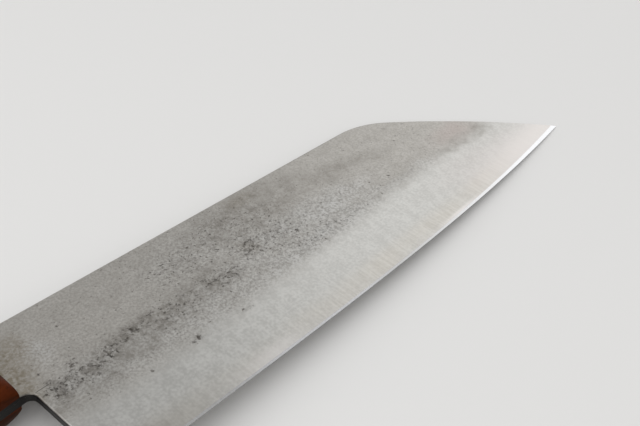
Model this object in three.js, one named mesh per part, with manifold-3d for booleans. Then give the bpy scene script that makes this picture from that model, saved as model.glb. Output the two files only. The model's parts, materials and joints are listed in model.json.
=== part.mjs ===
// Kitchen knife of the santoku kind with an angled clip point and a full tang,
// lying at rest on its left side. All sizes are in millimetres.
//
// The pieces are modelled in the knife's own frame: +X runs from the heel to the point,
// +Y from the cutting edge to the spine and +Z out of the right face, with the heel's
// corner at the origin. The finished group is then laid down: it leans until the left
// scale and the point both touch the surface, with +Z up and its origin on that surface
// under the middle of the knife.
import * as THREE from "three";
import { mergeVertices } from "three/addons/utils/BufferGeometryUtils.js";
import Module from "manifold-3d";

const wasm = await Module();
wasm.setup();

// Blade outline
const bladeLength = 167; // heel to point
const heelHeight = 48.5; // edge to spine at the heel
const clipStart = 124.2; // heel to the corner where the spine turns into the clip
const spineDrop = 0.4; // fall of the spine from the heel to that corner
const clipBulge = 1.4; // rise of the clip's curve above its chord
const clipCornerReach = 8.5; // length of spine and of clip that the corner's rounding takes
const pointRise = 7.2; // height of the point above the heel's edge
const edgeSweepPower = 3.2; // how late the edge sweeps up: 1 is a straight line
const neckDepth = 20.7; // spine to the underside of the neck, where the handle starts
const neckLength = 2.6; // bare steel between the heel and the scales
const neckFilletShare = 0.77; // of the neck's length, in the fillet down to the heel

// Blade section
const stockThickness = 2.4; // the tang, and the spine at the heel
const pointThickness = 1.3; // what the flats would taper to at the point
const bevelHeightHeel = 14; // edge to the top of the ground bevel
const bevelHeightPoint = 17;
const behindEdgeThickness = 0.34; // at the top of the sharpened edge
const sharpenedWidthHeel = 0.5; // the sharpened edge, seen square to the face
const sharpenedWidthPoint = 1.35;
const sharpenedWidenPower = 4; // how late the sharpened edge widens: 1 is evenly
const coreThickness = 0.8; // hard steel between the two claddings
const weldLine = 0.02; // the core to each cladding

// Handle outline, with distances along it measured back from the front of the scales
const handleLength = 116;
const fingerDepth = 22.8; // at the swell under the first fingers
const fingerPlace = 30;
const waistDepth = 22;
const waistPlace = 66;
const buttDepth = 27.5;
const topHump = 0.9; // rise of the top line at the middle
const buttDrop = 2.5; // fall of the top line at the butt
const buttTopRadius = 9;
const buttUnderRadius = 7;

// Handle section
const scaleThickness = 8; // each scale where it is full
const scaleFrontThickness = 4.4; // each scale just behind its front rim
const frontRimHeight = 0.9; // what the rounding leaves of that at the very front
const scaleFrontTaper = 30; // length over which it swells to full
const scaleWall = 0.6; // straight wall beside the tang, before the rounding starts
const scaleRounding = 6.5; // width of the rounding along each long edge
const scaleLeastFlat = 1; // flat left between the two roundings where the butt narrows
const buttRimRadius = 4;
const glueLine = 0.05; // each scale to the tang

// Rivets: a hollow barrel from the right side, and a stud from the left pressed into it
const rivetNames = ["front", "middle", "rear"];
const rivetFrontInset = 18;
const rivetButtInset = 24;
const rivetHeadDiameter = 7.6;
const rivetHeadDepth = 2.6;
const barrelDiameter = 5;
const studDiameter = 3.4;
const studShortfall = 0.8; // the stud's end to the bottom of the barrel's bore
const rivetFit = 0.04; // clearance round and under each rivet piece

// Fineness of the solids
const outlineSegments = 14;
const bladeStationSpacing = 5;
const handleStationSpacing = 6;
const roundingSegments = 6;
const rivetSegments = 28;
const overrun = 8; // how far a cutting shape reaches past what it cuts

const neckFilletRadius = neckFilletShare * neckLength;
const handleFrontX = -neckLength;
const buttX = handleFrontX - handleLength;
const point = new THREE.Vector2(bladeLength, pointRise);
const scaleInnerZ = stockThickness / 2 + glueLine;
const frontRimRadius = scaleFrontThickness - frontRimHeight;

// Materials
const steel = (color, roughness) =>
  new THREE.MeshStandardMaterial({ color, roughness, metalness: 1 });
const coreMaterial = steel(0xc9c5bc, 0.3);
const claddingMaterial = steel(0xa9a69f, 0.45);
const rivetMaterial = steel(0xc8c6c2, 0.25);
const scaleMaterial = new THREE.MeshStandardMaterial({
  color: 0x6e2f14,
  roughness: 0.4,
  metalness: 0,
});

// Solids and meshes

// A closed geometry as a solid that can be joined and cut.
function solidOf(geometry) {
  const bare = geometry.clone();
  bare.deleteAttribute("normal");
  bare.deleteAttribute("uv");
  const merged = mergeVertices(bare);
  return new wasm.Manifold(
    new wasm.Mesh({
      numProp: 3,
      vertProperties: new Float32Array(merged.attributes.position.array),
      triVerts: new Uint32Array(merged.index.array),
    }),
  );
}

function meshOf(name, solid, material) {
  const { vertProperties, triVerts } = solid.getMesh();
  const geometry = new THREE.BufferGeometry();
  geometry.setAttribute("position", new THREE.BufferAttribute(vertProperties, 3));
  geometry.setIndex(new THREE.BufferAttribute(triVerts, 1));
  geometry.computeVertexNormals();
  const mesh = new THREE.Mesh(geometry, material);
  mesh.name = name;
  return mesh;
}

// Skins a row of rings, each a list of [y, z] pairs at its own x, and closes both ends.
// Rings run anticlockwise seen from +X, and follow each other towards +X.
function loft(stations) {
  const count = stations[0].ring.length;
  const positions = stations.flatMap(({ x, ring }) => ring.flatMap(([y, z]) => [x, y, z]));
  const index = [];
  for (let s = 0; s + 1 < stations.length; s++) {
    for (let i = 0; i < count; i++) {
      const here = s * count + i;
      const next = s * count + ((i + 1) % count);
      index.push(here, next, next + count, here, next + count, here + count);
    }
  }
  const capOf = ({ ring }) =>
    THREE.ShapeUtils.triangulateShape(
      ring.map(([y, z]) => new THREE.Vector2(y, z)),
      [],
    );
  const last = (stations.length - 1) * count;
  capOf(stations[0]).forEach(([a, b, c]) => index.push(c, b, a));
  capOf(stations.at(-1)).forEach(([a, b, c]) => index.push(last + a, last + b, last + c));
  const geometry = new THREE.BufferGeometry();
  geometry.setAttribute("position", new THREE.Float32BufferAttribute(positions, 3));
  geometry.setIndex(index);
  return solidOf(geometry);
}

function box(low, high) {
  const size = new THREE.Vector3().subVectors(high, low);
  const middle = new THREE.Vector3().addVectors(low, high).multiplyScalar(0.5);
  const geometry = new THREE.BoxGeometry(size.x, size.y, size.z);
  return solidOf(geometry.translate(middle.x, middle.y, middle.z));
}

// A round bar along Z.
function bar({ x, y }, diameter, lowZ, highZ) {
  const geometry = new THREE.CylinderGeometry(
    diameter / 2,
    diameter / 2,
    highZ - lowZ,
    rivetSegments,
  );
  return solidOf(geometry.rotateX(Math.PI / 2).translate(x, y, (lowZ + highZ) / 2));
}

// Evenly spaced values from start to end, both included.
function spread(start, end, spacing) {
  const steps = Math.ceil((end - start) / spacing);
  return Array.from({ length: steps + 1 }, (_, i) => start + ((end - start) * i) / steps);
}

// Blade

const mix = (a, b, share) => a + (b - a) * share;
const alongBlade = (x) => Math.max(x / bladeLength, 0);
const edgeY = (x) => pointRise * alongBlade(x) ** edgeSweepPower;
const sharpenedWidth = (x) =>
  mix(sharpenedWidthHeel, sharpenedWidthPoint, alongBlade(x) ** sharpenedWidenPower);
const spineY = (x) => heelHeight - (spineDrop * x) / clipStart;

// Handle lines, at a distance back from the front of the scales

const roundOff = (distance, radius) =>
  distance < radius ? radius - Math.sqrt(radius ** 2 - (radius - distance) ** 2) : 0;

const topCurve = new THREE.SplineCurve([
  new THREE.Vector2(0, heelHeight),
  new THREE.Vector2(handleLength / 2, heelHeight + topHump),
  new THREE.Vector2(handleLength, heelHeight - buttDrop),
]);
const underCurve = new THREE.SplineCurve([
  new THREE.Vector2(0, heelHeight - neckDepth),
  new THREE.Vector2(fingerPlace, heelHeight - fingerDepth),
  new THREE.Vector2(waistPlace, heelHeight - waistDepth),
  new THREE.Vector2(handleLength, heelHeight - buttDrop - buttDepth),
]);

// The height of a curve at a distance along the handle, by halving.
function heightOn(curve, distance) {
  let low = 0;
  let high = 1;
  for (let i = 0; i < 40; i++) {
    const middle = (low + high) / 2;
    if (curve.getPoint(middle).x < distance) low = middle;
    else high = middle;
  }
  return curve.getPoint(high).y;
}

const handleTop = (distance) =>
  heightOn(topCurve, distance) - roundOff(handleLength - distance, buttTopRadius);
const handleUnder = (distance) =>
  heightOn(underCurve, distance) + roundOff(handleLength - distance, buttUnderRadius);

// Stations along the handle, closer together round the butt and at the front rim.
function handleStations() {
  const buttRounding = Math.max(buttTopRadius, buttUnderRadius, buttRimRadius);
  const turns = spread(0, Math.PI / 2, Math.PI / 2 / roundingSegments);
  const front = turns.map((angle) => frontRimRadius * (1 - Math.cos(angle)));
  const length = spread(frontRimRadius, handleLength - buttRounding, handleStationSpacing);
  const butt = turns.map((angle) => handleLength - buttRounding * (1 - Math.sin(angle)));
  return [...front, ...length.slice(1, -1), ...butt];
}

// The knife's steel seen square to its face. Below the cutting edge it is left oversize,
// because the grinding sets the edge.
function blankShape() {
  const neckY = heelHeight - neckDepth;
  const corner = new THREE.Vector2(clipStart, spineY(clipStart));
  const chord = new THREE.Vector2().subVectors(point, corner);
  const outward = new THREE.Vector2(-chord.y, chord.x).normalize();
  const bow = new THREE.Vector2()
    .addVectors(corner, point)
    .multiplyScalar(0.5)
    .addScaledVector(outward, 2 * clipBulge);
  const alongClip = new THREE.Vector2().subVectors(bow, corner).normalize();
  const clipEntry = corner.clone().addScaledVector(alongClip, clipCornerReach);
  const spineExit = clipStart - clipCornerReach;
  const beyond = new THREE.Vector2().subVectors(point, bow).normalize().multiplyScalar(overrun);
  beyond.add(point);

  const shape = new THREE.Shape();
  shape.moveTo(0, -overrun);
  shape.lineTo(beyond.x, -overrun);
  shape.lineTo(beyond.x, beyond.y);
  shape.lineTo(point.x, point.y);
  shape.quadraticCurveTo(bow.x, bow.y, clipEntry.x, clipEntry.y);
  shape.quadraticCurveTo(corner.x, corner.y, spineExit, spineY(spineExit));
  shape.lineTo(0, heelHeight);
  const stations = handleStations();
  stations.forEach((d) => shape.lineTo(handleFrontX - d, handleTop(d)));
  stations.reverse().forEach((d) => shape.lineTo(handleFrontX - d, handleUnder(d)));
  shape.absarc(
    -neckFilletRadius,
    neckY - neckFilletRadius,
    neckFilletRadius,
    Math.PI / 2,
    0,
    true,
  );
  shape.closePath();
  return shape;
}

// Everything that the grinding leaves: a wedge from spine to edge along the blade, and
// the whole stock from the neck back.
function grindLimit() {
  const stations = spread(-overrun, bladeLength + overrun, bladeStationSpacing).map((x) => {
    const share = x / bladeLength;
    const edge = edgeY(x);
    const bevelTop = edge + mix(bevelHeightHeel, bevelHeightPoint, share);
    const sharpenedTop = edge + sharpenedWidth(x);
    const flat = mix(stockThickness, pointThickness, share) / 2;
    const behind = behindEdgeThickness / 2;
    const above = heelHeight + overrun;
    const right = [
      [sharpenedTop, behind],
      [bevelTop, flat],
      [above, flat],
    ];
    const left = right.map(([y, z]) => [y, -z]);
    return { x, ring: [...left, ...right.reverse(), [edge, 0]] };
  });
  const reach = heelHeight + overrun;
  const tangStock = box(
    new THREE.Vector3(buttX - overrun, -overrun, -stockThickness),
    new THREE.Vector3(-neckLength / 2, reach, stockThickness),
  );
  return loft(stations).add(tangStock);
}

function groundBlade() {
  const geometry = new THREE.ExtrudeGeometry(blankShape(), {
    depth: stockThickness,
    bevelEnabled: false,
    curveSegments: outlineSegments,
  });
  const blank = solidOf(geometry.translate(0, 0, -stockThickness / 2));
  return blank.intersect(grindLimit());
}

// One layer of the laminated steel, between two heights.
function layer(blade, lowZ, highZ) {
  return blade.intersect(
    box(
      new THREE.Vector3(buttX - overrun, -overrun, lowZ),
      new THREE.Vector3(bladeLength + overrun, heelHeight + overrun, highZ),
    ),
  );
}

// Scales

// How far a scale stands off the tang's face.
function scaleSwell(distance) {
  const share = Math.min(distance / scaleFrontTaper, 1);
  const swell = mix(scaleFrontThickness, scaleThickness, Math.sin((share * Math.PI) / 2));
  return (
    swell -
    roundOff(distance, frontRimRadius) -
    roundOff(handleLength - distance, buttRimRadius)
  );
}

// A scale before it is drilled, on the right side (+1) or the left side (-1).
function scaleBlank(side) {
  const stations = handleStations().map((distance) => {
    const swell = scaleSwell(distance);
    const under = handleUnder(distance);
    const top = handleTop(distance);
    const widest = (top - under - scaleLeastFlat) / 2;
    const rounding = Math.min(scaleRounding, swell - scaleWall, widest);
    const ring = [
      [top, 0],
      [under, 0],
    ];
    const corner = (y, towards, angle) => [
      y + towards * rounding * (1 - Math.cos(angle)),
      scaleWall + (swell - scaleWall) * Math.sin(angle),
    ];
    const angles = spread(0, Math.PI / 2, Math.PI / 2 / roundingSegments);
    angles.forEach((angle) => ring.push(corner(under, 1, angle)));
    angles.reverse().forEach((angle) => ring.push(corner(top, -1, angle)));
    const placed = ring.map(([y, z]) => [y, side * (scaleInnerZ + z)]);
    return { x: handleFrontX - distance, ring: side > 0 ? placed.reverse() : placed };
  });
  return loft(stations.reverse());
}

// Rivets

// Where each rivet goes through the handle, on the line midway between top and underside.
function rivetPlaces() {
  const pitch = (handleLength - rivetFrontInset - rivetButtInset) / (rivetNames.length - 1);
  return rivetNames.map((name, i) => {
    const distance = rivetFrontInset + i * pitch;
    return {
      name,
      x: handleFrontX - distance,
      y: (handleTop(distance) + handleUnder(distance)) / 2,
      seatZ: scaleInnerZ + scaleSwell(distance) - rivetHeadDepth,
    };
  });
}

const beyondScalesZ = scaleInnerZ + scaleThickness + overrun;

// The hole that a rivet needs through both scales and the tang.
function rivetHole(place) {
  const head = rivetHeadDiameter + 2 * rivetFit;
  const floor = place.seatZ - rivetFit;
  return bar(place, barrelDiameter + 2 * rivetFit, -beyondScalesZ, beyondScalesZ)
    .add(bar(place, head, floor, beyondScalesZ))
    .add(bar(place, head, -beyondScalesZ, -floor));
}

// The barrel's head is ground flush with the right scale. Its bore is open to the left.
function rivetBarrel(place, rightScale) {
  const head = bar(place, rivetHeadDiameter, place.seatZ, beyondScalesZ).intersect(rightScale);
  const tube = bar(place, barrelDiameter, -place.seatZ + rivetFit, place.seatZ + rivetFit);
  const bore = bar(place, studDiameter + 2 * rivetFit, -beyondScalesZ, place.seatZ);
  return head.add(tube).subtract(bore);
}

function rivetStud(place, leftScale) {
  const head = bar(place, rivetHeadDiameter, -beyondScalesZ, -place.seatZ).intersect(leftScale);
  const shank = bar(place, studDiameter, -place.seatZ - rivetFit, place.seatZ - studShortfall);
  return head.add(shank);
}

// Assembly

const sum = (solids) => solids.reduce((all, one) => all.add(one));

function buildKnife() {
  const places = rivetPlaces();
  const drilling = sum(places.map(rivetHole));
  const blade = groundBlade().subtract(drilling);
  const rightScale = scaleBlank(1);
  const leftScale = scaleBlank(-1);
  const coreZ = coreThickness / 2;

  const knife = new THREE.Group();
  knife.add(
    meshOf("core_steel", layer(blade, -coreZ, coreZ), coreMaterial),
    meshOf("cladding_right", layer(blade, coreZ + weldLine, stockThickness), claddingMaterial),
    meshOf("cladding_left", layer(blade, -stockThickness, -coreZ - weldLine), claddingMaterial),
    meshOf("scale_right", rightScale.subtract(drilling), scaleMaterial),
    meshOf("scale_left", leftScale.subtract(drilling), scaleMaterial),
  );
  places.forEach((place) => {
    const { name } = place;
    knife.add(
      meshOf(`rivet_barrel_${name}`, rivetBarrel(place, rightScale), rivetMaterial),
      meshOf(`rivet_stud_${name}`, rivetStud(place, leftScale), rivetMaterial),
    );
  });
  return knife;
}

// The lowest point of a mesh once the knife leans towards its point by an angle.
function lowestZ(mesh, lean) {
  const { array } = mesh.geometry.attributes.position;
  let lowest = Infinity;
  for (let i = 0; i < array.length; i += 3) {
    lowest = Math.min(lowest, array[i + 2] * Math.cos(lean) - array[i] * Math.sin(lean));
  }
  return lowest;
}

// The lean at which the left scale and the left face of the blade come down together.
function restingLean(knife) {
  const scale = knife.getObjectByName("scale_left");
  const bladePieces = ["core_steel", "cladding_left"].map((name) => knife.getObjectByName(name));
  let low = 0;
  let high = Math.PI / 4;
  for (let i = 0; i < 40; i++) {
    const lean = (low + high) / 2;
    const bladeZ = Math.min(...bladePieces.map((piece) => lowestZ(piece, lean)));
    if (bladeZ > lowestZ(scale, lean)) low = lean;
    else high = lean;
  }
  return high;
}

// Lays the knife down, with the origin on the surface under the middle of its box.
function laidDown(knife) {
  knife.rotation.y = restingLean(knife);
  const rest = new THREE.Group();
  rest.add(knife);
  rest.updateMatrixWorld(true);
  const bounds = new THREE.Box3().setFromObject(rest, true);
  const middle = bounds.getCenter(new THREE.Vector3());
  knife.position.set(-middle.x, -middle.y, -bounds.min.z);
  return rest;
}

export default laidDown(buildKnife());
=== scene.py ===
"""Looks of a santoku-style kitchen knife with a clip point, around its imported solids.

Shapes are worked out in millimetres in the knife's own frame: +X from the heel to the
point, +Y from the cutting edge to the spine, +Z out of the right face, with the heel's
corner at the origin. KNIFE then lays each mesh where the solids lie, in metres.
"""

import json
import math

import bmesh
import bpy
import numpy as np
from mathutils import Matrix, Vector, kdtree


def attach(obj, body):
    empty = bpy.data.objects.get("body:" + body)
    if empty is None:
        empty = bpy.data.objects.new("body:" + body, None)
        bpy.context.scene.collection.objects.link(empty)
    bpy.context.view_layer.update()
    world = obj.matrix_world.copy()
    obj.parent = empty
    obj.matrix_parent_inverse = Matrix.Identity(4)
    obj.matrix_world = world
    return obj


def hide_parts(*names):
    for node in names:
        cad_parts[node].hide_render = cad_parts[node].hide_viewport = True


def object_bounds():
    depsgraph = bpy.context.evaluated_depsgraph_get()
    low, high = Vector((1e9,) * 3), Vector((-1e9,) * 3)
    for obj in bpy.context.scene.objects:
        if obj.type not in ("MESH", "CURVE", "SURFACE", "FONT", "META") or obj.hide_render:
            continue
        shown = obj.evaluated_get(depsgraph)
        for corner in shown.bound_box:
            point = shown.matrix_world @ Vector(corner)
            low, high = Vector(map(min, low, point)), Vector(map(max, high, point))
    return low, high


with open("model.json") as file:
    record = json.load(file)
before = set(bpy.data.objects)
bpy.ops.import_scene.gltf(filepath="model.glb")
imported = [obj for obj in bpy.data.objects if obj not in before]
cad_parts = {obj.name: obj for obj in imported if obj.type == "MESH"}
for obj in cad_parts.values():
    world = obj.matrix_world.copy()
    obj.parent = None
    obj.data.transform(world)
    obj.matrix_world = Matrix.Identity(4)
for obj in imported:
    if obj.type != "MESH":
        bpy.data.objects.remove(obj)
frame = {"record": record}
cad_low, cad_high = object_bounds()

MM = 0.001

# Camera, as fitted to the photograph
CAMERA_SENSOR = 36
CAMERA_LENS = 52.12
CAMERA_AZIMUTH = -48.78
CAMERA_ELEVATION = 39.11
CAMERA_ROLL = 1.35
CAMERA_TARGET = Vector((59.87, 2.09, 5.0))
CAMERA_DISTANCE = 233.37
CAMERA_CLIP_START = 0.01

# Blade outline
BLADE_LENGTH = 167
HEEL_HEIGHT = 48.5
CLIP_START = 124.2
SPINE_DROP = 0.4
CLIP_BULGE = 1.4
CLIP_CORNER_REACH = 8.5
POINT_RISE = 7.2
EDGE_SWEEP_POWER = 3.2
NECK_DEPTH = 20.7
NECK_LENGTH = 2.6
NECK_FILLET_SHARE = 0.77
NECK_FILLET = NECK_FILLET_SHARE * NECK_LENGTH
CORNER_Y = HEEL_HEIGHT - NECK_DEPTH - NECK_FILLET  # where the heel meets the neck's fillet

# Blade section
STOCK_THICKNESS = 2.4
POINT_THICKNESS = 1.3
BEVEL_HEIGHT_HEEL = 14
BEVEL_HEIGHT_POINT = 17
BEHIND_EDGE = 0.34
SHARPENED_HEEL = 0.5
SHARPENED_POINT = 1.35
SHARPENED_WIDEN_POWER = 4
CORE_HALF = 0.4
CORE_WANDER = 0.03  # how far the weld between core and cladding wanders
CORE_WANDER_START = 10  # from the heel, over which the wander sets in
CORE_WAVES = ((17, 1.0, 5), (6, 0.5, 6))  # cell, weight and seed of the wander's two waves
WELD_LINE = 0.004
SHINOGI_SOFTNESS = 0.12  # how much the hand-ground line above the bevel is blended
EDGE_EASE = 0.28  # radius of the eased spine, heel and neck
MOST_EASE = 0.7  # and the most that it may be, as a share of the cladding's thickness
LEAST_EASE = 1e-6
EASE_END_X = -1  # from where the easing dies out, back to the wood
DARK_LINE_Y = 26.75  # a short dark line on the face beside the neck's corner
DARK_LINE_LENGTH = 4.0

# Handle outline and section
HANDLE_LENGTH = 116
FINGER_DEPTH = 22.8
FINGER_PLACE = 30
WAIST_DEPTH = 22
WAIST_PLACE = 66
BUTT_DEPTH = 27.5
TOP_HUMP = 0.9
BUTT_DROP = 2.5
BUTT_TOP_RADIUS = 9
BUTT_UNDER_RADIUS = 7
SCALE_THICKNESS = 8
SCALE_FRONT_THICKNESS = 4.4
FRONT_RIM_RADIUS = 3.5
SCALE_FRONT_TAPER = 30
SCALE_WALL = 0.6
SCALE_ROUNDING = 6.5
SCALE_LEAST_FLAT = 1
BUTT_RIM_RADIUS = 4
GLUE_LINE = 0.05
SCALE_INNER_Z = STOCK_THICKNESS / 2 + GLUE_LINE

# Rivets
RIVET_PLACES = {"front": 18, "middle": 55, "rear": 92}  # back from the front of the scales
RIVET_RADIUS = 3.8
RIVET_HEAD_DEPTH = 2.6
BARREL_RADIUS = 2.5
STUD_RADIUS = 1.7
STUD_SHORTFALL = 0.8
RIVET_FIT = 0.04
RIVET_RISE = 0.05  # what the head stands proud at its middle
RIVET_EASE = 0.15  # rounding of the head's rim

# Fineness of the meshes
BLADE_SPACING = 0.32
HANDLE_SPACING = 1.5
EASE_STEPS = np.array([0, 0.02, 0.07, 0.15, 0.28])  # rows and columns beside an eased edge
# Rows of the core, as shares of the widths of its sharpened edge and of its bared band
EDGE_ROWS = np.array([0, 0.12, 0.5, 0.88, 0.97])
BAND_ROWS = np.concatenate([[0, 0.03], np.linspace(0.1, 1, 12, endpoint=False)])
MOST_SHARPENED = 0.45  # the shares of the blade's height that these two may take at the point
MOST_BARED = 0.9

# Steps in the turned and rounded shapes
NECK_STEPS = 10
ROUNDING_STEPS = 16
FLAT_STEPS = 10
LATHE_STEPS = 72
HEAD_STEPS = 8
RIM_STEPS = 6
CURVE_STEPS = 60
NOISE_CELLS = 128
MERGE_DISTANCE = 0.0005
SMOOTH_ANGLE = math.radians(32)


def knife_matrix():
    """Lays the knife's own frame, in millimetres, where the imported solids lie, in metres."""
    mounts = {mount["name"]: mount for mount in frame["record"]["mounts"]}
    face = mounts["scale_flat_right"]
    axis = Vector(face["axis"])
    lean = math.atan2(axis.x, axis.z)
    shift_x = cad_high.x / MM - BLADE_LENGTH * math.cos(lean)
    shift_y = cad_low.y / MM
    face_height = Vector(face["pos_m"]).dot(axis) / MM
    shift_z = face_height - SCALE_INNER_Z - SCALE_THICKNESS - math.sin(lean) * shift_x
    shift = Matrix.Translation((shift_x, shift_y, shift_z / math.cos(lean)))
    return Matrix.Scale(MM, 4) @ shift @ Matrix.Rotation(lean, 4, "Y")


KNIFE = knife_matrix()


# Small formulas


def mix(low, high, share):
    return low + (high - low) * share


def smooth_step(value, start, end):
    share = np.clip((value - start) / (end - start), 0, 1)
    return share * share * (3 - 2 * share)


def fade(value, start, end):
    return 1 - smooth_step(value, start, end)


def bell(value, middle, width, power=2):
    """One at the middle, falling away softly over about a width to both sides."""
    return np.exp(-(((value - middle) / width) ** power))


def smooth_min(one, other, softness):
    near = np.clip(softness - np.abs(one - other), 0, None) / softness
    return np.minimum(one, other) - near * near * softness / 4


def round_off(distance, radius):
    """How far a rounded edge has fallen away at a distance in from it."""
    inside = np.clip(radius - distance, 0, radius)
    return radius - np.sqrt(radius**2 - inside**2)


def value_noise(x, y, cell, seed):
    """Smooth noise from 0 to 1, with features about one cell wide."""
    lattice = np.random.default_rng(seed).random((NOISE_CELLS, NOISE_CELLS))
    column = np.floor(x / cell).astype(int)
    row = np.floor(y / cell).astype(int)
    across = smooth_step(x / cell - column, 0, 1)
    along = smooth_step(y / cell - row, 0, 1)

    def corner(right, up):
        return lattice[(column + right) % NOISE_CELLS, (row + up) % NOISE_CELLS]

    below = mix(corner(0, 0), corner(1, 0), across)
    above = mix(corner(0, 1), corner(1, 1), across)
    return mix(below, above, along)


def bezier(start, control, end):
    share = np.linspace(0, 1, CURVE_STEPS)[:, None]
    return mix(mix(start, control, share), mix(control, end, share), share)


def spline(points):
    """A smooth line through points, each stretch leaving and arriving along its neighbours."""
    points = np.array(points, float)
    doubled = np.vstack([points[:1], points, points[-1:]])
    share = np.linspace(0, 1, CURVE_STEPS)[:, None]
    stretches = []
    for before, start, end, after in zip(doubled, doubled[1:], doubled[2:], doubled[3:]):
        leave = (end - before) / 2
        arrive = (after - start) / 2
        cubic = 2 * start - 2 * end + leave + arrive
        square = 3 * end - 3 * start - 2 * leave - arrive
        stretches.append(((cubic * share + square) * share + leave) * share + start)
    return np.vstack(stretches)


# Outline of the steel


def edge_y(x):
    return POINT_RISE * (np.clip(x, 0, None) / BLADE_LENGTH) ** EDGE_SWEEP_POWER


def spine_and_clip():
    """The upper outline of the blade, from the heel to the point."""
    corner = np.array([CLIP_START, HEEL_HEIGHT - SPINE_DROP])
    point = np.array([BLADE_LENGTH, POINT_RISE], float)
    chord = point - corner
    outward = np.array([-chord[1], chord[0]]) / np.linalg.norm(chord)
    bow = (corner + point) / 2 + 2 * CLIP_BULGE * outward
    entry = corner + CLIP_CORNER_REACH * (bow - corner) / np.linalg.norm(bow - corner)
    exit_x = CLIP_START - CLIP_CORNER_REACH
    spine_end = np.array([exit_x, HEEL_HEIGHT - SPINE_DROP * exit_x / CLIP_START])
    heel = np.array([[0, HEEL_HEIGHT]])
    return np.vstack([heel, bezier(spine_end, corner, entry), bezier(entry, bow, point)])


UPPER_LINE = spine_and_clip()
TOP_LINE = spline(
    [
        (0, HEEL_HEIGHT),
        (HANDLE_LENGTH / 2, HEEL_HEIGHT + TOP_HUMP),
        (HANDLE_LENGTH, HEEL_HEIGHT - BUTT_DROP),
    ]
)
UNDER_LINE = spline(
    [
        (0, HEEL_HEIGHT - NECK_DEPTH),
        (FINGER_PLACE, HEEL_HEIGHT - FINGER_DEPTH),
        (WAIST_PLACE, HEEL_HEIGHT - WAIST_DEPTH),
        (HANDLE_LENGTH, HEEL_HEIGHT - BUTT_DROP - BUTT_DEPTH),
    ]
)


def upper_y(x):
    return np.interp(x, UPPER_LINE[:, 0], UPPER_LINE[:, 1])


def handle_top(distance):
    height = np.interp(distance, TOP_LINE[:, 0], TOP_LINE[:, 1])
    return height - round_off(HANDLE_LENGTH - distance, BUTT_TOP_RADIUS)


def handle_under(distance):
    height = np.interp(distance, UNDER_LINE[:, 0], UNDER_LINE[:, 1])
    return height + round_off(HANDLE_LENGTH - distance, BUTT_UNDER_RADIUS)


def inset(x, y):
    """How far a point of the bare steel lies in from the spine, clip, heel or neck."""
    step = 0.1
    slope = (upper_y(x + step) - upper_y(x - step)) / (2 * step)
    from_top = (upper_y(x) - y) / np.hypot(1, slope)
    from_corner = np.hypot(x + NECK_FILLET, y - CORNER_Y) - NECK_FILLET
    from_heel = np.where(y < CORNER_Y, x, from_corner)
    from_neck = np.where(x < -NECK_FILLET, y - CORNER_Y - NECK_FILLET, from_heel)
    return np.minimum(from_top, from_neck)


# Section of the steel


def sharpened_width(x):
    share = np.clip(x / BLADE_LENGTH, 0, 1) ** SHARPENED_WIDEN_POWER
    return mix(SHARPENED_HEEL, SHARPENED_POINT, share)


def bevel_height(x):
    return mix(BEVEL_HEIGHT_HEEL, BEVEL_HEIGHT_POINT, np.clip(x / BLADE_LENGTH, 0, 1))


def flat_half(x):
    return mix(STOCK_THICKNESS, POINT_THICKNESS, np.clip(x / BLADE_LENGTH, 0, 1)) / 2


def bevel_rise(x):
    """How fast the ground bevel thickens upwards from the sharpened edge."""
    return (flat_half(x) - BEHIND_EDGE / 2) / (bevel_height(x) - sharpened_width(x))


def half_thickness(x, y):
    """The ground steel's half thickness: sharpened edge, bevel and flat."""
    above = y - edge_y(x)
    width = sharpened_width(x)
    behind = BEHIND_EDGE / 2
    sharpened = behind * above / width
    bevel = behind + bevel_rise(x) * (above - width)
    return smooth_min(np.minimum(sharpened, bevel), flat_half(x), SHINOGI_SOFTNESS)


def core_half(x):
    """Half thickness of the hard core, which wanders a little along the forged blade."""
    wander = sum(
        weight * (value_noise(x, 0 * x, cell, seed) - 0.5) for cell, weight, seed in CORE_WAVES
    )
    return CORE_HALF + CORE_WANDER * wander * smooth_step(x, 0, CORE_WANDER_START)


def cladding_line(x):
    """The height above the heel's corner at which the ground bevel cuts into the core."""
    bared = (core_half(x) + WELD_LINE - BEHIND_EDGE / 2) / bevel_rise(x)
    return edge_y(x) + sharpened_width(x) + bared


def cladding_end():
    """Where the cladding runs out on the clip, by halving."""
    halvings = 40
    low, high = CLIP_START, float(BLADE_LENGTH)
    for _ in range(halvings):
        middle = (low + high) / 2
        if cladding_line(np.array(middle)) < upper_y(middle):
            low = middle
        else:
            high = middle
    return low


# Relief of the forged skin, which sets in above the bevel along a ragged border

SKIN_RAGGED = 1.8
SKIN_RAGGED_CELL = 5
SKIN_FADE = (-3, 5)  # heights over the bevel's top between which the skin sets in
MARKS_FADE = (-2.5, 0.5)  # and between which its pits and grain do
BEVEL_RAISE = 2.2  # how much higher the ground steel reaches in a stretch towards the clip
BEVEL_RAISE_PLACE = (105, 28)  # middle and half length of that stretch
UNDULATIONS = ((0.024, 6.5, 2), (0.012, 2.6, 3))  # depth, cell and seed
PEAR_SKIN_DEPTH = (0.006, 0.03)
PEAR_SKIN_CELL = 0.8
RELIEF_FADE = (0.05, 0.3)  # thickness of cladding over which the relief dies out
# extent of the painted shade on the neck's eased rim
NECK_RIM_WIDTH = (0.1, 0.4)
NECK_RIM_END = (-0.9, -0.2)

# Tints, painted highlight and painted shade of the ground steel: ranges along the blade and above
# the edge over which they change

WARM_DRIFT = (0.4, 1.3)
WARM_CELL = 9
WARM_SEED = 31
WARM_HEEL = 0.5
WARM_GROWTH = (30, 85)
WARM_HEIGHTS = (3, 8)
# extent of the painted highlight near the point
BRIGHT_GROWTH = (112, 152)
BRIGHT_HEIGHTS = (3, 13)
# extent of the painted shade near the edge at the heel
DIM_FADE = (10, 36)
DIM_HEIGHTS = (2, 9)
BLUSH_SEED = 71
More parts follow.
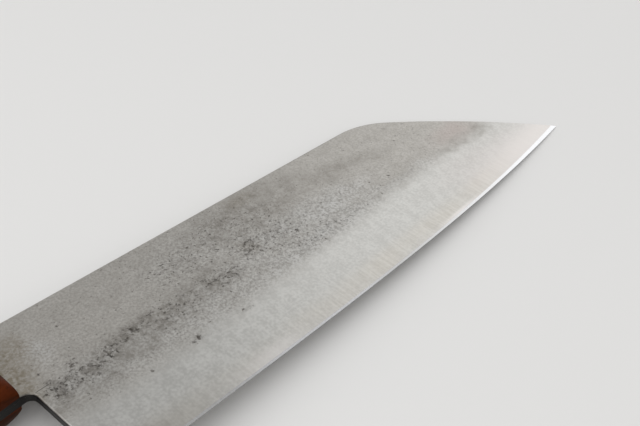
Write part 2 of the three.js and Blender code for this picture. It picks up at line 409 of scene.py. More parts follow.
# where the painted highlight on the sharpened edge sets in towards the point
GLINT_GROWTH = (85, 150)
GLINT_STRETCH = (55, 22)  # middle and half length of another stretch of painted highlight on the edge
SHARPENED_FADE = (0.96, 1.02)  # shares of the sharpened width

# Marks and painted shade on the steel, as soft patches: x, y, half length, half height, strength

PATCH_CRISPNESS = 1.5
SHADE_CRISPNESS = 2.5
SHADE_MOTTLE = (0.45, 1.4)
SHADE_CELL = 2.2
WAVER_ALONG = (5, 7)  # how far the outlines of patches waver along the blade, and the cell
WAVER_UP = (2.5, 4)  # and across it
PIT_PATCHES = [
    (4.5, 23.4, 4.5, 3.2, 0.78),
    (11, 25.0, 7, 3.2, 0.74),
    (18, 26.8, 6, 2.6, 0.55),
    (24, 27.8, 5, 2.4, 0.75),
    (34, 25.0, 8, 5.0, 0.55),
    (33, 15.5, 1.8, 1.3, 1.0),
    (37, 13.5, 4, 1.5, 0.4),
    (46, 15.0, 1.5, 1.2, 0.8),
    (50, 26.3, 7, 3.4, 0.76),
    (61.5, 29.3, 3.4, 3.4, 0.66),
    (70, 28.0, 11, 8.0, 0.45),
    (86, 20.5, 13, 3.0, 0.4),
    (43, 36.0, 6, 6.0, 0.4),
    (60, 38.0, 18, 8.0, 0.42),
    (8, 30.5, 7, 3.0, 0.2),
]
GRAIN_PATCHES = [
    (84, 20.5, 22, 4.0, 1.0),
    (80, 28.5, 24, 5.0, 0.8),
    (42, 22.0, 26, 7.0, 0.7),
    (12, 22.0, 14, 5.0, 0.8),
    (112, 21.5, 16, 3.0, 0.6),
    (58, 38.0, 22, 8.0, 0.4),
]
# patches of painted shade
SHADE_PATCHES = [
    (7, 20.8, 10, 4.5, 0.34),
    (24, 24.6, 15, 4.8, 0.48),
    (44, 27.0, 12, 5.0, 0.4),
    (73, 40.5, 22, 7.5, 0.46),
    (101, 36.8, 11, 3.8, 0.38),
    (116, 33.5, 7, 3.6, 0.22),
    (112, 25.4, 17, 1.8, 0.16),
    (109, 21.2, 10, 2.6, 0.3),
    (140, 21.8, 15, 2.4, 0.38),
]
RUBBED_PATCHES = [
    (66, 17.0, 13, 2.6, 0.5),
    (39, 16.5, 3, 1.8, 0.7),
    (92, 27.0, 12, 3.0, 0.4),
    (6.5, 36.0, 2.6, 4.5, 0.6),
]
STAIN_PATCHES = [
    (-1.0, 33.0, 4.5, 8.0, 0.8),
    (2.6, 40.0, 3.0, 3.5, 0.6),
    (61.5, 29.5, 2.0, 2.5, 0.3),
    (73, 45.0, 5.0, 2.5, 0.25),
]
BLUSH_PATCHES = [
    (140, 26.5, 8, 4.5, 0.7),
    (140, 11.0, 22, 8.0, 0.5),
]
SINGLE_PITS = [  # x, y and radius of the deep pits that stand out
    (9.5, 27.7, 0.8),
    (14.0, 39.3, 0.75),
    (20.0, 15.0, 0.65),
    (33.0, 15.5, 1.1),
    (24.6, 27.6, 0.8),
    (45.7, 15.0, 0.65),
    (74.9, 26.3, 0.95),
    (109.8, 25.4, 0.7),
    (136.8, 19.9, 0.45),
]
EDGE_GLINTS = [  # painted glints on the edge: x, half length, heights above the edge between which it fades, strength
    (41, 9, 1.5, 5.0, 0.7),
    (112, 9, 1.1, 1.9, 1.0),
]
LEFT_SHIFT = 31  # how far towards the heel the left face has its marks
SMALL_PITS = 50
SMALL_PITS_X = (1, 110)
SMALL_PITS_Y = (17, 46)
PIT_RADIUS = (0.25, 0.6)  # of the small ones
PIT_DEPTH = (0.02, 0.07)


def cloud(x, y, patches, seed, crispness=PATCH_CRISPNESS):
    """Soft patches with wavering outlines, laid over each other, from 0 to 1."""
    reach_x, cell_x = WAVER_ALONG
    reach_y, cell_y = WAVER_UP
    x = x + reach_x * (value_noise(x, y, cell_x, seed) - 0.5)
    y = y + reach_y * (value_noise(x, y, cell_y, seed + 1) - 0.5)
    clear = np.ones(np.shape(x))
    for patch_x, patch_y, length, height, strength in patches:
        away = ((x - patch_x) / length) ** 2 + ((y - patch_y) / height) ** 2
        clear = clear * (1 - strength * np.exp(-(away**crispness)))
    return 1 - clear


def pit_list(seed):
    """The single deep pits, and small ones scattered between them."""
    draw = np.random.default_rng(seed)
    pits = [(*pit, PIT_DEPTH[1]) for pit in SINGLE_PITS]
    for _ in range(SMALL_PITS):
        share = draw.random() ** 2
        place = (draw.uniform(*SMALL_PITS_X), draw.uniform(*SMALL_PITS_Y))
        pits.append((*place, mix(*PIT_RADIUS, share), mix(*PIT_DEPTH, share)))
    return pits


def pit_depths(x, y, seed):
    """How deep the pits reach at each point."""
    tree = kdtree.KDTree(len(x))
    for index, place in enumerate(zip(x, y)):
        tree.insert((*place, 0), index)
    tree.balance()
    depths = np.zeros(len(x))
    for pit_x, pit_y, radius, depth in pit_list(seed):
        for _, index, distance in tree.find_range((pit_x, pit_y, 0), radius):
            depths[index] = max(depths[index], depth * (1 - (distance / radius) ** 2) ** 2)
    return depths


def ground_masks(x, y):
    """Where the ground steel is warm above the edge, lighter by painted highlight near the point
    and in glints on the edge, or darker by painted shade at the heel.
    """
    above = y - edge_y(x)
    drift = mix(*WARM_DRIFT, value_noise(x, y, WARM_CELL, WARM_SEED))
    drift = drift * mix(WARM_HEEL, 1.0, smooth_step(x, *WARM_GROWTH))
    # painted highlight: lighter ground steel near the point, and glints on the edge
    painted_highlight = smooth_step(x, *BRIGHT_GROWTH) * fade(above, *BRIGHT_HEIGHTS)
    for glint_x, length, full, faded, strength in EDGE_GLINTS:
        glint = strength * bell(x, glint_x, length)
        painted_highlight = np.maximum(painted_highlight, glint * fade(above, full, faded))
    return {
        "warm": np.clip(drift * fade(above, *WARM_HEIGHTS), 0, 1),
        "painted_highlight": painted_highlight,
        "blush": cloud(x, y, BLUSH_PATCHES, BLUSH_SEED),
        "dim": fade(x, *DIM_FADE) * fade(above, *DIM_HEIGHTS),
    }


def forged_finish(x, y, seed, shift):
    """Depth of the pear-skin relief, and the masks that the steel's material reads."""
    along = x + shift
    over_bevel = y - edge_y(x) - bevel_height(x)
    ragged = SKIN_RAGGED * (value_noise(x, y, SKIN_RAGGED_CELL, seed) - 0.5)
    raised = BEVEL_RAISE * bell(x, *BEVEL_RAISE_PLACE)
    forged = smooth_step(over_bevel + ragged - raised, *SKIN_FADE)
    on_skin = smooth_step(over_bevel, *MARKS_FADE)
    pitting = cloud(along, y, PIT_PATCHES, seed + 7) * on_skin
    grainy = cloud(along, y, GRAIN_PATCHES, seed + 9) * on_skin
    pits = pit_depths(along, y, seed) * on_skin
    shade = cloud(along, y, SHADE_PATCHES, seed + 11, SHADE_CRISPNESS)
    shade = shade * mix(*SHADE_MOTTLE, value_noise(x, y, SHADE_CELL, seed + 1))
    # painted shade along the neck's eased rim
    neck_rim_shade = fade(inset(x, y), *NECK_RIM_WIDTH) * fade(x, *NECK_RIM_END)
    neck_rim_shade = neck_rim_shade * (y < CORNER_Y + NECK_DEPTH / 2)

    undulation = sum(
        height * value_noise(x, y, cell, seed + wave) for height, cell, wave in UNDULATIONS
    )
    pear_skin = mix(*PEAR_SKIN_DEPTH, grainy) * value_noise(x, y, PEAR_SKIN_CELL, seed + 4)
    out_of_wood = smooth_step(x, -NECK_LENGTH, 0)
    depth = (forged * (undulation + pear_skin) + pits) * out_of_wood
    masks = {
        "forged": forged,
        "pitting": pitting,
        "grainy": grainy,
        "pit": pits / PIT_DEPTH[1],
        "shade": np.clip(shade, 0, 1),
        "stain": cloud(along, y, STAIN_PATCHES, seed + 13),
        "rubbed": cloud(along, y, RUBBED_PATCHES, seed + 15),
        "neck_rim_shade": neck_rim_shade,
        **ground_masks(x, y),
    }
    return depth, masks


# Meshes


def quads(index):
    """Faces between the neighbouring columns and rows of a grid of vertex numbers."""
    corners = [index[:-1, :-1], index[1:, :-1], index[1:, 1:], index[:-1, 1:]]
    return np.stack(corners, -1).reshape(-1, 4)


def handle_stations():
    """Distances along the scales, closer together at the front rim and round the butt."""
    turns = np.linspace(0, math.pi / 2, ROUNDING_STEPS)
    butt_rounding = max(BUTT_TOP_RADIUS, BUTT_UNDER_RADIUS, BUTT_RIM_RADIUS)
    front = FRONT_RIM_RADIUS * (1 - np.cos(turns))
    butt = HANDLE_LENGTH - butt_rounding * (1 - np.sin(turns))
    steps = int((butt[0] - front[-1]) / HANDLE_SPACING)
    return np.concatenate([front, np.linspace(front[-1], butt[0], steps)[1:-1], butt])


def steel_patch(x, rows, corner_row):
    """The flat outline of one steel layer as a grid: the blade, and the tang from a row up."""
    count = rows.shape[1]
    blade_index = np.arange(rows.size).reshape(rows.shape)
    turns = np.linspace(0, math.pi / 2, NECK_STEPS)[1:]
    stations = handle_stations()
    tang_x = np.concatenate([NECK_FILLET * (np.cos(turns) - 1), -NECK_LENGTH - stations])
    under = np.concatenate([CORNER_Y + NECK_FILLET * np.sin(turns), handle_under(stations)])
    top = np.concatenate([np.full(len(turns), HEEL_HEIGHT), handle_top(stations)])
    heel = rows[0, corner_row:]
    share = (heel - heel[0]) / (heel[-1] - heel[0])
    tang_rows = mix(under[:, None], top[:, None], share)
    tang_index = rows.size + np.arange(tang_rows.size).reshape(tang_rows.shape)
    tang_index = np.vstack([blade_index[:1, corner_row:], tang_index])
    point_x = np.concatenate([np.repeat(x, count), np.repeat(tang_x, count - corner_row)])
    point_y = np.concatenate([rows.ravel(), tang_rows.ravel()])
    return point_x, point_y, np.vstack([quads(blade_index), quads(tang_index[::-1])])


def blade_columns(end):
    body = np.arange(EASE_STEPS[-1] + BLADE_SPACING, end - BLADE_SPACING / 2, BLADE_SPACING)
    return np.concatenate([EASE_STEPS, body, [end]])


def mesh_of(name, points, faces, attributes):
    """A mesh in the knife's own frame, with masks for its material as attributes."""
    mesh = bpy.data.meshes.new(name)
    mesh.from_pydata(points.tolist(), [], faces.tolist())
    for key, values in attributes.items():
        mesh.attributes.new(key, "FLOAT", "POINT").data.foreach_set("value", values)
    return mesh


def edit(mesh, change):
    """Runs one change on a mesh as editable geometry, and turns its faces outwards."""
    shape = bmesh.new()
    shape.from_mesh(mesh)
    change(shape)
    bmesh.ops.recalc_face_normals(shape, faces=shape.faces)
    shape.to_mesh(mesh)
    shape.free()


def rim_of(shape):
    return [edge for edge in shape.edges if edge.is_boundary]


def extruded_rim(shape, edges):
    """Extrudes rim edges, marks the walls of heel, neck and tang, and returns the new vertices."""
    end_face = shape.faces.layers.float.new("end_face")
    made = bmesh.ops.extrude_edge_only(shape, edges=edges)["geom"]
    for wall in made:
        if isinstance(wall, bmesh.types.BMFace):
            middle = wall.calc_center_median()
            on_spine = middle.y > HEEL_HEIGHT - MERGE_DISTANCE and middle.x > -NECK_LENGTH
            wall[end_face] = float(middle.x < MERGE_DISTANCE and not on_spine)
    return [item for item in made if isinstance(item, bmesh.types.BMVert)]


def merge(shape):
    bmesh.ops.remove_doubles(shape, verts=shape.verts, dist=MERGE_DISTANCE)


def cladding_mesh(name, side, seed):
    """The forged outer layer on one side, ground away to the core along the edge."""
    x = blade_columns(cladding_end())
    low = cladding_line(x)
    high = upper_y(x)
    corner = (CORNER_Y - low[0]) / (high[0] - low[0])
    eased = 1 - EASE_STEPS[::-1] / (high[0] - low[0])
    below = np.linspace(0, corner, int((CORNER_Y - low[0]) / BLADE_SPACING), endpoint=False)
    above = np.linspace(corner, eased[0], int((high[0] - CORNER_Y) / BLADE_SPACING))
    shares = np.concatenate([below, above, eased[1:]])
    rows = mix(low[:, None], high[:, None], shares)
    px, py, faces = steel_patch(x, rows, len(below))

    relief, masks = forged_finish(px, py, seed, 0 if side > 0 else LEFT_SHIFT)
    inner = core_half(px) + WELD_LINE
    ground = half_thickness(px, py)
    outer = ground - relief * smooth_step(ground - inner, *RELIEF_FADE)
    ease = np.minimum(EDGE_EASE, MOST_EASE * (outer - inner))
    ease = ease * smooth_step(px, -NECK_LENGTH, EASE_END_X)
    outer = outer - round_off(np.clip(inset(px, py), 0, None), np.clip(ease, LEAST_EASE, None))
    outer = np.maximum(outer, inner)
    mesh = mesh_of(name, np.stack([px, py, side * outer], -1), faces, masks)

    def close(shape):
        for vert in extruded_rim(shape, rim_of(shape)):
            vert.co.z = side * float(core_half(np.array(vert.co.x)) + WELD_LINE)
        merge(shape)
        back = bmesh.ops.edgeloop_fill(shape, edges=rim_of(shape))["faces"]
        bmesh.ops.triangulate(shape, faces=back)

    edit(mesh, close)
    return mesh


def core_mesh(name):
    """The hard layer in the middle, with its bared band and the sharpened edge."""
    x = blade_columns(float(BLADE_LENGTH))
    height = upper_y(x) - edge_y(x)
    sharpened = np.minimum(sharpened_width(x), MOST_SHARPENED * height)
    bared = np.minimum(cladding_line(x) - edge_y(x), MOST_BARED * height)
    corner = (CORNER_Y - bared[0]) / (height[0] - bared[0])
    on_hidden = np.array([0, 0.5 * corner, corner, mix(corner, 1, 0.5), 1])
    rows = np.hstack(
        [
            sharpened[:, None] * EDGE_ROWS,
            mix(sharpened[:, None], bared[:, None], BAND_ROWS),
            mix(bared[:, None], height[:, None], on_hidden),
        ]
    )
    corner_row = len(EDGE_ROWS) + len(BAND_ROWS) + list(on_hidden).index(corner)
    px, py, faces = steel_patch(x, edge_y(x)[:, None] + rows, corner_row)
    pz = np.minimum(core_half(px), np.clip(half_thickness(px, py), 0, None))
    above = py - edge_y(px)
    # painted highlight along the sharpened edge, towards the point and in one stretch
    painted_edge_glint = smooth_step(px, *GLINT_GROWTH) + bell(px, *GLINT_STRETCH, power=4)
    masks = {
        "sharpened": fade(above / sharpened_width(px), *SHARPENED_FADE),
        "painted_edge_glint": np.clip(painted_edge_glint, 0, 1),
        **ground_masks(px, py),
    }
    mesh = mesh_of(name, np.stack([px, py, pz], -1), faces, masks)

    def close(shape):
        rim = [edge for edge in rim_of(shape) if max(v.co.z for v in edge.verts) > MERGE_DISTANCE]
        copied = bmesh.ops.duplicate(shape, geom=shape.verts[:] + shape.edges[:] + shape.faces[:])
        mirrored = [item for item in copied["geom"] if isinstance(item, bmesh.types.BMVert)]
        for vert in mirrored + extruded_rim(shape, rim):
            vert.co.z *= -1
        merge(shape)

    edit(mesh, close)
    return mesh


def scale_swell(distance):
    """How far a scale stands off the tang's face."""
    share = np.clip(distance / SCALE_FRONT_TAPER, 0, 1)
    swell = mix(SCALE_FRONT_THICKNESS, SCALE_THICKNESS, np.sin(share * math.pi / 2))
    swell = swell - round_off(distance, FRONT_RIM_RADIUS)
    return swell - round_off(HANDLE_LENGTH - distance, BUTT_RIM_RADIUS)


def scale_mesh(name, side):
    """One wooden scale before it is drilled."""
    stations = handle_stations()
    swell = scale_swell(stations)[:, None]
    under = handle_under(stations)[:, None]
    top = handle_top(stations)[:, None]
    widest = (top - under - SCALE_LEAST_FLAT) / 2
    rounding = np.minimum(np.minimum(SCALE_ROUNDING, swell - SCALE_WALL), widest)
    angles = np.linspace(0, math.pi / 2, ROUNDING_STEPS)
    flat = np.linspace(0, 1, FLAT_STEPS)[1:-1]
    stand = SCALE_WALL + (swell - SCALE_WALL) * np.sin(angles)
    lower = under + rounding * (1 - np.cos(angles))
    upper = top - rounding * (1 - np.cos(angles))
    ring_y = [under, lower, mix(under + rounding, top - rounding, flat), upper[:, ::-1], top]
    ring_z = [0 * under, stand, swell + 0 * flat, stand[:, ::-1], 0 * top]
    py = np.hstack(ring_y)
    pz = side * (SCALE_INNER_Z + np.hstack(ring_z))
    px = -NECK_LENGTH - np.repeat(stations[:, None], py.shape[1], 1)
    index = np.arange(py.size).reshape(py.shape)
    faces = quads(np.hstack([index, index[:, :1]]))
    points = np.stack([px.ravel(), py.ravel(), pz.ravel()], -1)
    mesh = mesh_of(name, points, faces, {})
    edit(mesh, lambda shape: bmesh.ops.edgeloop_fill(shape, edges=rim_of(shape)))
    return mesh


def lathe(shape, centre, profile):
    """Turns a profile of radius and height pairs, from axis to axis, about a line along Z."""
    angles = np.linspace(0, 2 * math.pi, LATHE_STEPS, endpoint=False)
    rings = []
    for radius, z in profile:
        turned = angles if radius > 0 else angles[:1]
        ring = [
            shape.verts.new((centre[0] + radius * math.cos(a), centre[1] + radius * math.sin(a), z))
            for a in turned
        ]
        rings.append(ring)
    for lower, upper in zip(rings, rings[1:]):
        for i in range(LATHE_STEPS):
            after = (i + 1) % LATHE_STEPS
            corners = [
                lower[i % len(lower)],
                lower[after % len(lower)],
                upper[after % len(upper)],
                upper[i % len(upper)],
            ]
            shape.faces.new(list(dict.fromkeys(corners)))
    return rings


def rivet_centre(distance):
    return -NECK_LENGTH - distance, float(handle_top(distance) + handle_under(distance)) / 2


def rivet_seat(distance):
    return SCALE_INNER_Z + float(scale_swell(distance)) - RIVET_HEAD_DEPTH


def head_profile():
    """The rivet head's top, as pairs of radius and height above the scale's face."""
    flat = np.linspace(0, 1 - RIVET_EASE / RIVET_RADIUS, HEAD_STEPS)
    turns = np.linspace(0, math.pi / 2, RIM_STEPS)
    radii = [*(flat * RIVET_RADIUS), *(RIVET_RADIUS - RIVET_EASE * (1 - np.sin(turns[1:])))]
    dome = RIVET_RISE * (1 - (np.array(radii) / RIVET_RADIUS) ** 2)
    falls = np.concatenate([np.zeros(len(flat)), RIVET_EASE * (1 - np.cos(turns[1:]))])
    return list(zip(radii, dome - falls))


def rivet_mesh(name, distance, side):
    """One half of a rivet: the hollow barrel on the right, the stud on the left."""
    seat = rivet_seat(distance)
    head = head_profile()
    if side > 0:
        shank = [
            (RIVET_RADIUS, seat),
            (BARREL_RADIUS, seat),
            (BARREL_RADIUS, RIVET_FIT - seat),
            (STUD_RADIUS + RIVET_FIT, RIVET_FIT - seat),
            (STUD_RADIUS + RIVET_FIT, seat),
            (0, seat),
        ]
    else:
        shank = [
            (RIVET_RADIUS, seat),
            (STUD_RADIUS, seat),
            (STUD_RADIUS, STUD_SHORTFALL - seat),
            (0, STUD_SHORTFALL - seat),
        ]
    mesh = bpy.data.meshes.new(name)
    centre = rivet_centre(distance)

    def turn(shape):
        rings = lathe(shape, centre, head + shank)
        for ring, (_, rise) in zip(rings, head):
            for vert in ring:
                swell = float(scale_swell(-NECK_LENGTH - vert.co.x))
                vert.co.z = SCALE_INNER_Z + swell + rise
        for vert in shape.verts:
            vert.co.z *= side

    edit(mesh, turn)
    return mesh


def drill_object():
    """The stepped holes of all rivets, as one hidden cutting shape."""
    mesh = bpy.data.meshes.new("rivet_drill")
    beyond = 2 * SCALE_THICKNESS

    def turn(shape):
        for distance in RIVET_PLACES.values():
            floor = rivet_seat(distance) - RIVET_FIT
            head = RIVET_RADIUS + RIVET_FIT
            hole = BARREL_RADIUS + RIVET_FIT
            upper = [(hole, floor), (head, floor), (head, beyond), (0, beyond)]
            lower = [(radius, -z) for radius, z in reversed(upper)]
            lathe(shape, rivet_centre(distance), lower + upper)

    edit(mesh, turn)
    return bpy.data.objects.new("rivet_drill", mesh)


def drilled(mesh):
    """The mesh with the rivet holes cut through it."""
    drill = drill_object()
    blank = bpy.data.objects.new("blank", mesh)
    for item in (drill, blank):
        bpy.context.scene.collection.objects.link(item)
    cut = blank.modifiers.new("rivet_holes", "BOOLEAN")
    cut.operation = "DIFFERENCE"
    cut.solver = "MANIFOLD"
    cut.object = drill
    graph = bpy.context.evaluated_depsgraph_get()
    result = bpy.data.meshes.new_from_object(blank.evaluated_get(graph))
    result.name = mesh.name
    for item in (blank, drill):
        bpy.data.objects.remove(item)
    return result


def piece(name, mesh, node, material):
    """Lays a finished mesh where its CAD node lies. Materials read its own frame as "place"."""
    place = np.zeros(len(mesh.vertices) * 3, np.float32)
    mesh.vertices.foreach_get("co", place)
    mesh.attributes.new("place", "FLOAT_VECTOR", "POINT").data.foreach_set("vector", place)
    mesh.transform(KNIFE)
    mesh.shade_smooth()
    mesh.set_sharp_from_angle(angle=SMOOTH_ANGLE)
    mesh.materials.clear()
    mesh.materials.append(material)
    made = bpy.data.objects.new(name, mesh)
    bpy.context.scene.collection.objects.link(made)
    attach(made, "root")
    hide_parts(node)


# Materials

COLOUR_MIX_INPUTS = (0, 6, 7)  # share and both colours, among the mix node's sockets
COLOUR_MIX_OUTPUT = 2


class Shader:
    """A material's nodes, with a short call for each kind that is used here."""

    def __init__(self, name):
        self.material = bpy.data.materials.new(name)
        self.material.use_nodes = True
        self.tree = self.material.node_tree
        self.surface = self.tree.nodes["Principled BSDF"]

    def put(self, socket, value):
        if isinstance(value, bpy.types.NodeSocket):
            self.tree.links.new(value, socket)
        else:
            socket.default_value = value

    def node(self, kind, inputs, **settings):
        """A new node with its settings, and with values or links on its sockets."""
        made = self.tree.nodes.new("ShaderNode" + kind)
        for name, value in settings.items():
            setattr(made, name, value)
        for socket, value in inputs.items():
            self.put(made.inputs[socket], value)
        return made

    def finish(self, **values):
        """Sets the surface's sockets by their names, and gives the material."""
        for name, value in values.items():
            self.put(self.surface.inputs[name.replace("_", " ").title()], value)
        return self.material

    def mask(self, name):
        return self.node("Attribute", {}, attribute_name=name).outputs["Fac"]

    def moved(self, vector, stretch, shift):
        """A vector stretched, and then shifted."""
        inputs = {0: vector, 1: stretch, 2: shift}
        return self.node("VectorMath", inputs, operation="MULTIPLY_ADD").outputs["Vector"]

    def place(self, stretch=(1, 1, 1), shift=(0, 0, 0)):
        """Millimetres in the knife's own frame, stretched and shifted."""
        own = self.node("Attribute", {}, attribute_name="place").outputs["Vector"]
        return self.moved(own, stretch, shift)

    def noise(self, vector, scale, detail=2.0, roughness=0.5, distortion=0.0):
        inputs = {
            "Vector": vector,
            "Scale": scale,
            "Detail": detail,
            "Roughness": roughness,
            "Distortion": distortion,
        }
        return self.node("TexNoise", inputs).outputs["Fac"]

    def ruffled(self, vector, scale, amount):
        """A place pushed about by noise, so that what is drawn there gets ragged outlines."""
        push = self.node("TexNoise", {"Vector": vector, "Scale": scale}).outputs["Color"]
        return self.moved(push, (amount, amount, amount), vector)

    def dots(self, vector, scale, share, inner, outer):
        """Scattered dots, in a share of the cells of a loose grid, soft between two radii."""
        cells = self.node("TexVoronoi", {"Vector": vector, "Scale": scale}).outputs
        chance = self.split(cells["Color"])[0]
        there = self.math("LESS_THAN", chance, share)
        return self.times(there, self.span(cells["Distance"], inner, outer, 1.0, 0.0))

    def split(self, vector):
        return self.node("SeparateXYZ", {"Vector": vector}).outputs

    def span(self, value, start, end, low=0.0, high=1.0):
        """Carries a value from the range start to end onto the range low to high, softly."""
        ends = {"From Min": start, "From Max": end, "To Min": low, "To Max": high}
        node = self.node("MapRange", {"Value": value, **ends}, interpolation_type="SMOOTHSTEP")
        return node.outputs["Result"]

    def math(self, operation, one, other=0.0):
        return self.node("Math", {0: one, 1: other}, operation=operation).outputs["Value"]

    def times(self, *values):
        result = values[0]
        for value in values[1:]:
            result = self.math("MULTIPLY", result, value)
        return result

    def plus(self, *values):
        result = values[0]
        for value in values[1:]:
            result = self.math("ADD", result, value)
        return result

    def between(self, share, one, other):
        """Mixes two numbers."""
        return self.plus(one, self.times(share, self.math("SUBTRACT", other, one)))

    def blend(self, share, one, other):
        """Mixes two colours."""
        inputs = dict(zip(COLOUR_MIX_INPUTS, (share, one, other)))
        return self.node("Mix", inputs, data_type="RGBA").outputs[COLOUR_MIX_OUTPUT]

    def tones(self, value, start, end, pair):
        """Runs from the first colour of a pair to the second, over a range of a value."""
        return self.blend(self.span(value, start, end), *pair)

    def coat(self, under, share, strength, colour):
        """Lays a colour over another, in a share of the surface and at a strength."""
        return self.blend(self.times(share, strength), under, colour)

    def bump(self, height, depth, under=None):
        """Raises the surface by a height from 0 to 1, times a depth in millimetres."""
        inputs = {"Distance": depth * MM, "Height": height}
        if under is not None:
            inputs["Normal"] = under
        return self.node("Bump", inputs).outputs["Normal"]


def rgb(red, green, blue):
    return (red, green, blue, 1.0)


# Colours of the finishes, and of painted highlight and painted shade, single or in pairs from dark
# to light

# painted shade, laid on the end faces of heel, neck and tang
END_FACE_SHADE = rgb(0.03, 0.029, 0.028)
GROUND_STEEL = (rgb(0.452, 0.447, 0.427), rgb(0.558, 0.553, 0.531))
WARM_STEEL = (rgb(0.475, 0.44, 0.385), rgb(0.595, 0.56, 0.505))
# painted highlight near the point and on the edge's glints
HIGHLIGHT_STEEL = rgb(0.70, 0.675, 0.655)
BLUSH_STEEL = rgb(0.55, 0.47, 0.455)
# painted shade near the edge at the heel
DIM_STEEL = rgb(0.30, 0.28, 0.245)
DULL_EDGE = (rgb(0.50, 0.50, 0.50), rgb(0.56, 0.56, 0.56))
# painted highlight on the sharpened edge
GLINT_EDGE = (rgb(0.73, 0.735, 0.75), rgb(0.80, 0.805, 0.82))
EVEN_SKIN = (rgb(0.385, 0.368, 0.341), rgb(0.493, 0.476, 0.447))
RUGGED_SKIN = (rgb(0.325, 0.318, 0.302), rgb(0.545, 0.537, 0.519))
MOTTLED_SKIN = rgb(0.36, 0.343, 0.316)
BLUSH_SKIN = rgb(0.47, 0.385, 0.365)
RUBBED_SKIN = rgb(0.585, 0.585, 0.58)
SHADE = rgb(0.25, 0.234, 0.21)
STAIN = rgb(0.215, 0.18, 0.125)
SOOT = rgb(0.18, 0.168, 0.15)
FRECKLE = rgb(0.27, 0.255, 0.23)
SPECK = rgb(0.075, 0.067, 0.058)
PIT_FLOOR = rgb(0.08, 0.07, 0.06)
DARK_LINE = rgb(0.05, 0.045, 0.04)
# painted shade on the neck's eased rim
NECK_RIM_SHADE = rgb(0.06, 0.057, 0.055)
WOOD_FIGURE = (rgb(0.014, 0.004, 0.001), rgb(0.08, 0.0135, 0.0015))
WOOD_FIBRE = rgb(0.10, 0.02, 0.003)
WOOD_PORE = rgb(0.012, 0.003, 0.001)
WOOD_SPECULAR = 0.07
RIVET_STEEL = (rgb(0.50, 0.49, 0.47), rgb(0.62, 0.61, 0.59))
RIVET_PATCH = rgb(0.45, 0.43, 0.40)
FLOOR_COLOUR = rgb(0.74, 0.735, 0.725)


def painted_end_shade(shader, steel):
    """Painted shade: the end faces of heel, neck and tang made nearly black."""
    return shader.blend(shader.mask("end_face"), steel, END_FACE_SHADE)


def ground_bevel(shader):
    """Colour, roughness and normal of the satin ground steel, which core and cladding share."""
    streaks = shader.noise(shader.place((1.6, 0.08, 0.3)), 1.0, detail=4.0)
    clouds = shader.noise(shader.place((0.5, 0.25, 0.25), (0, 20, 0)), 1.0, detail=3.0)
    grit = shader.noise(shader.place(shift=(0, 60, 0)), 1.5, detail=2.0)
    tone = shader.plus(
        shader.times(clouds, 0.4),
        shader.times(grit, 0.5),
        shader.times(streaks, 0.1),
    )
    steel = shader.tones(tone, 0.36, 0.64, GROUND_STEEL)
    lines = shader.tones(streaks, 0.38, 0.62, WARM_STEEL)
    steel = shader.coat(steel, shader.mask("warm"), 0.5, lines)
    # painted highlight near the point and on the edge's glints
    steel = shader.coat(steel, shader.mask("painted_highlight"), 0.75, HIGHLIGHT_STEEL)
    steel = shader.coat(steel, shader.mask("blush"), 0.35, BLUSH_STEEL)
    # painted shade near the edge at the heel
    steel = shader.coat(steel, shader.mask("dim"), 0.4, DIM_STEEL)
    roughness = shader.span(tone, 0.3, 0.7, 0.32, 0.38)
    return steel, roughness, shader.bump(streaks, 0.0006)


def dark_line_mask(shader):
    """The short dark line that runs from the neck's corner into the face."""
    along, up, _ = shader.split(shader.place())
    off = shader.math("ABSOLUTE", shader.math("SUBTRACT", up, DARK_LINE_Y))
    return shader.times(
        shader.span(off, 0.03, 0.13, 1.0, 0.0),
        shader.span(along, 0.1, 0.5),
        shader.span(along, DARK_LINE_LENGTH - 1.0, DARK_LINE_LENGTH, 1.0, 0.0),
    )


def speck_mask(shader, crust, pitting, forged):
    """Dark specks: blots with ragged outlines, and small flecks scattered between them."""
    blots = shader.span(shader.plus(crust, shader.times(pitting, 0.15)), 0.65, 0.70)
    share = shader.plus(shader.times(pitting, 0.4), 0.05)
    flecks = shader.dots(shader.ruffled(shader.place(), 4.0, 0.8), 1.9, share, 0.08, 0.42)
    worn = shader.noise(shader.place(shift=(70, 30, 0)), 0.8, detail=3.0)
    return shader.times(
        shader.math("MAXIMUM", blots, shader.times(flecks, 0.75)),
        shader.span(worn, 0.4, 0.6, 0.65, 1.0),
        shader.math("MAXIMUM", forged, pitting),
    )


def freckle_mask(shader, mottle, forged):
    """Faint dots, spread loosely over the forged skin."""
    ruffled = shader.ruffled(shader.place(shift=(0, 35, 0)), 2.0, 1.2)
    dots = shader.dots(ruffled, 1.1, 0.45, 0.05, 0.5)
    return shader.times(dots, forged, shader.span(mottle, 0.4, 0.6, 0.15, 0.5))


def pit_mask(shader):
    """The floors of the deep pits, with ragged outlines."""
    pit = shader.mask("pit")
    ragged = shader.noise(shader.place(shift=(0, 0, 45)), 2.2, detail=3.0, roughness=0.6)
    hollow = shader.span(shader.plus(shader.times(pit, 0.35), ragged), 0.62, 0.74)
    return shader.times(hollow, shader.span(pit, 0.0, 0.1))


